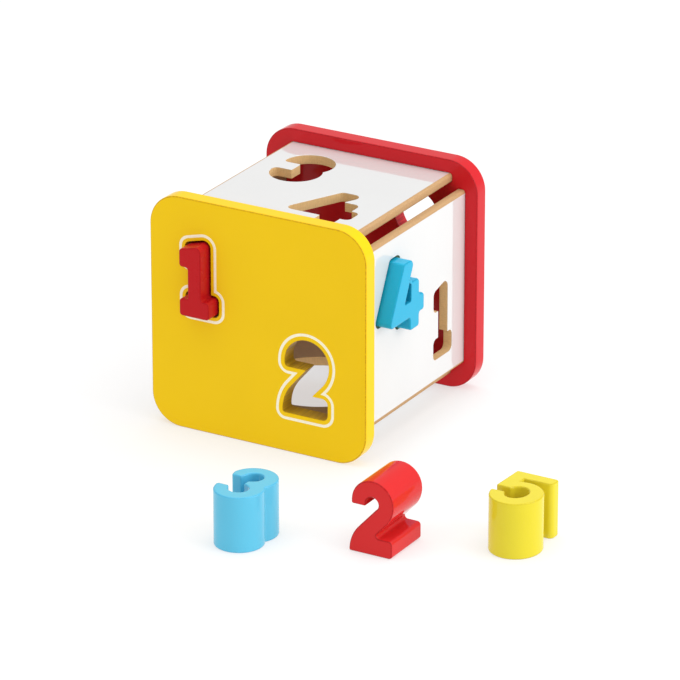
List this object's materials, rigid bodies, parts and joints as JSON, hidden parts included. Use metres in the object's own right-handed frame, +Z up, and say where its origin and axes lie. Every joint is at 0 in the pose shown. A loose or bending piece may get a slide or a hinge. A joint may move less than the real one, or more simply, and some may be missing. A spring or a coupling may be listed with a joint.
{
  "type": "shape sorter",
  "caption": "Cube-shaped sorting toy: rounded square end panels joined by thinner boards, with numeral cut-outs and matching numeral blocks that push through them.",
  "frame": {"origin": "middle of the front end panel's foot, on the floor", "axes": "+X towards the cube's right side board, +Y from the front panel towards the back panel, +Z up"},
  "size_m": [0.3002, 0.2936, 0.1515],
  "materials": {
    "yellow_lacquer": "gloss lacquer",
    "red_lacquer": "gloss lacquer",
    "white_lacquer_top": "gloss lacquer",
    "white_lacquer_right": "gloss lacquer",
    "white_lacquer_left": "gloss lacquer",
    "white_lacquer_bottom": "gloss lacquer",
    "number_1_red": "gloss lacquer",
    "number_2_red": "gloss lacquer",
    "number_3_blue": "gloss lacquer",
    "number_4_blue": "gloss lacquer",
    "number_5_yellow": "gloss lacquer"
  },
  "bodies": {
    "box": {"front_panel": "yellow_lacquer", "back_panel": "red_lacquer", "top_board": "white_lacquer_top", "right_board": "white_lacquer_right", "left_board": "white_lacquer_left", "bottom_board": "white_lacquer_bottom"},
    "block_1": {"number_1_block": "number_1_red"},
    "block_2": {"number_2_block": "number_2_red"},
    "block_3": {"number_3_block": "number_3_blue"},
    "block_4": {"number_4_block": "number_4_blue"},
    "block_5": {"number_5_block": "number_5_yellow"}
  },
  "joints": [
    {"name": "block_1_slide", "type": "slide", "parent": "box", "child": "block_1", "axis": [0, 1, 0], "range_m": [-0.03, 0.022]},
    {"name": "block_2_slide", "type": "slide", "parent": "box", "child": "block_2", "axis": [0, 0, 1], "range_m": [0, 0.15]},
    {"name": "block_3_slide", "type": "slide", "parent": "box", "child": "block_3", "axis": [0, 0, 1], "range_m": [0, 0.15]},
    {"name": "block_4_slide", "type": "slide", "parent": "box", "child": "block_4", "axis": [-1, 0, 0], "range_m": [-0.03, 0.017]},
    {"name": "block_5_slide", "type": "slide", "parent": "box", "child": "block_5", "axis": [0, 0, 1], "range_m": [0, 0.15]}
  ]
}
